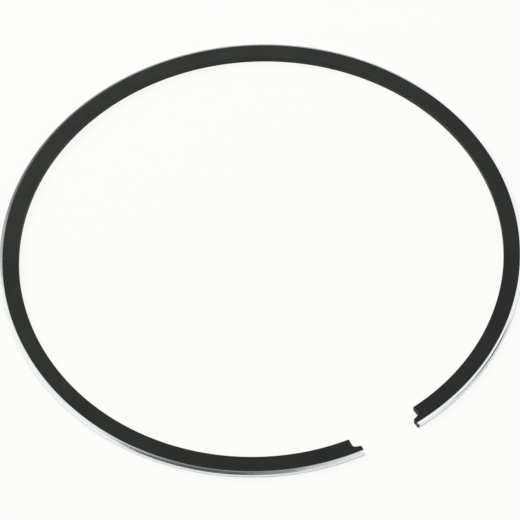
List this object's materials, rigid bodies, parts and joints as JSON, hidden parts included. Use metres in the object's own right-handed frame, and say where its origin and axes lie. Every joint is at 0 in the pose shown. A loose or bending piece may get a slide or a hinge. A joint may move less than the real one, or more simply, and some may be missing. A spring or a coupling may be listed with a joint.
{
  "type": "piston ring",
  "caption": "Thin one-piece split piston ring with a bright rounded running face, black phosphated sides and an inner notch at each end.",
  "frame": {"origin": "in the plane of the lower side face, in the middle of the free ring's length and width", "axes": "+Z along the ring's axis, up from the lower side face; the back of the ring is at +Y and its open gap at -Y"},
  "size_m": [0.0752, 0.0736, 0.001],
  "materials": {
    "ring_metal": "satin black phosphate on both sides, the inner face and the ends; bright ground chromium on the outer running face"
  },
  "bodies": {
    "root": {"piston_ring": "ring_metal"}
  },
  "joints": []
}
